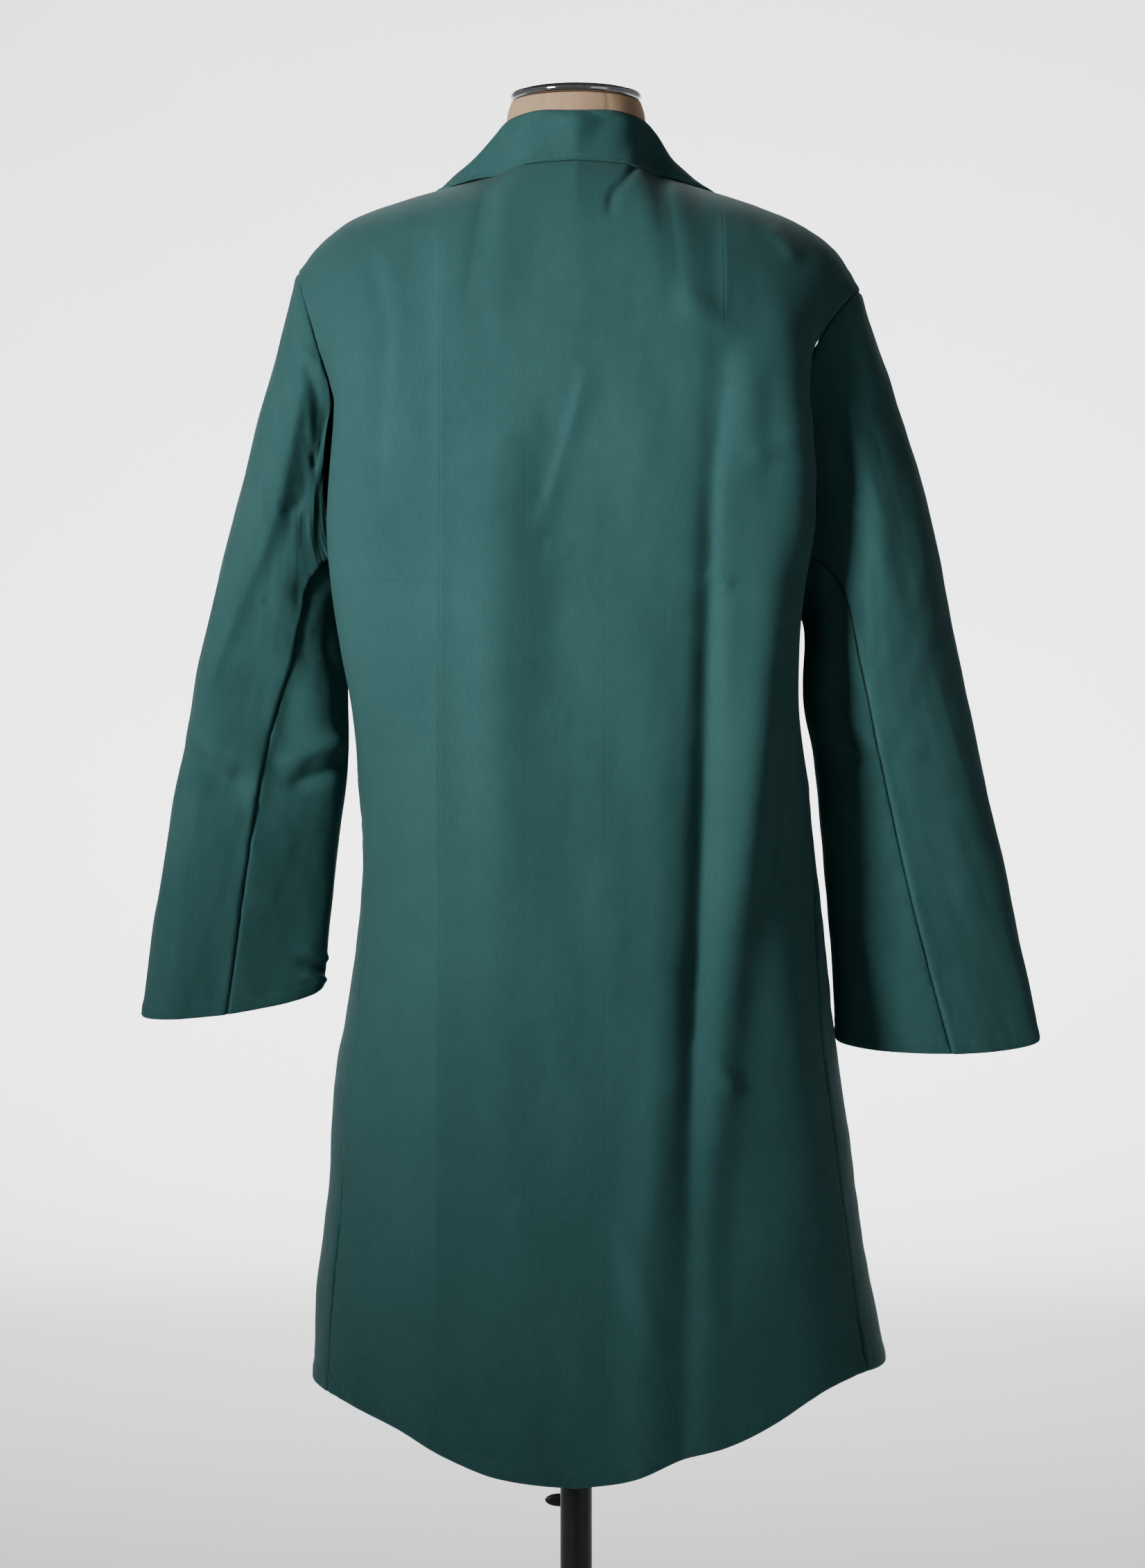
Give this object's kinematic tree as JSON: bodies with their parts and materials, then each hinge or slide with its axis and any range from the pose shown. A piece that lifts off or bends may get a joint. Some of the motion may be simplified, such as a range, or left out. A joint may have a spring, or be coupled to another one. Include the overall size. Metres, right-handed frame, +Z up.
{
  "type": "button-front work coat on a dress form",
  "caption": "Long button-front work coat with turned collar, lapels and two-piece sleeves, worn by a limbless dress form on a pole stand.",
  "frame": {"origin": "centre of the underside of the base plate, on the floor", "axes": "+Z up along the pole; -Y is the front of the coat; +X is the wearer's left"},
  "size_m": [0.7464, 0.34, 1.566],
  "materials": {
    "coat_cloth": "matte dark teal-green twill",
    "button_resin": "satin dark green resin",
    "linen": "matte natural linen",
    "chrome": "polished",
    "black_steel": "satin black paint"
  },
  "bodies": {
    "stand": {"base_plate": "black_steel", "stand_tube": "black_steel", "clamp_boss": "black_steel"},
    "clamp": {"clamp_screw": "black_steel"},
    "post": {"post": "chrome"},
    "form": {"torso": "linen", "neck_cap": "chrome", "coat_back": "coat_cloth", "coat_front_left": "coat_cloth", "coat_front_right": "coat_cloth", "lapel_left": "coat_cloth", "lapel_right": "coat_cloth", "collar": "coat_cloth", "sleeve_top_left": "coat_cloth", "sleeve_top_right": "coat_cloth", "sleeve_under_left": "coat_cloth", "sleeve_under_right": "coat_cloth", "button_1": "button_resin", "button_2": "button_resin", "button_3": "button_resin", "button_4": "button_resin"}
  },
  "joints": [
    {"name": "height_slide", "type": "slide", "parent": "stand", "child": "post", "axis": [0, 0, 1], "range_m": [-0.1, 0.2]},
    {"name": "form_turn", "type": "hinge", "parent": "post", "child": "form", "pos_m": [0, 0, 0.8], "axis": [0, 0, 1], "continuous": true},
    {"name": "clamp_turn", "type": "hinge", "parent": "stand", "child": "clamp", "pos_m": [0, -0.0135, 0.3905], "axis": [0, -1, 0], "range_deg": [0, 180]}
  ]
}
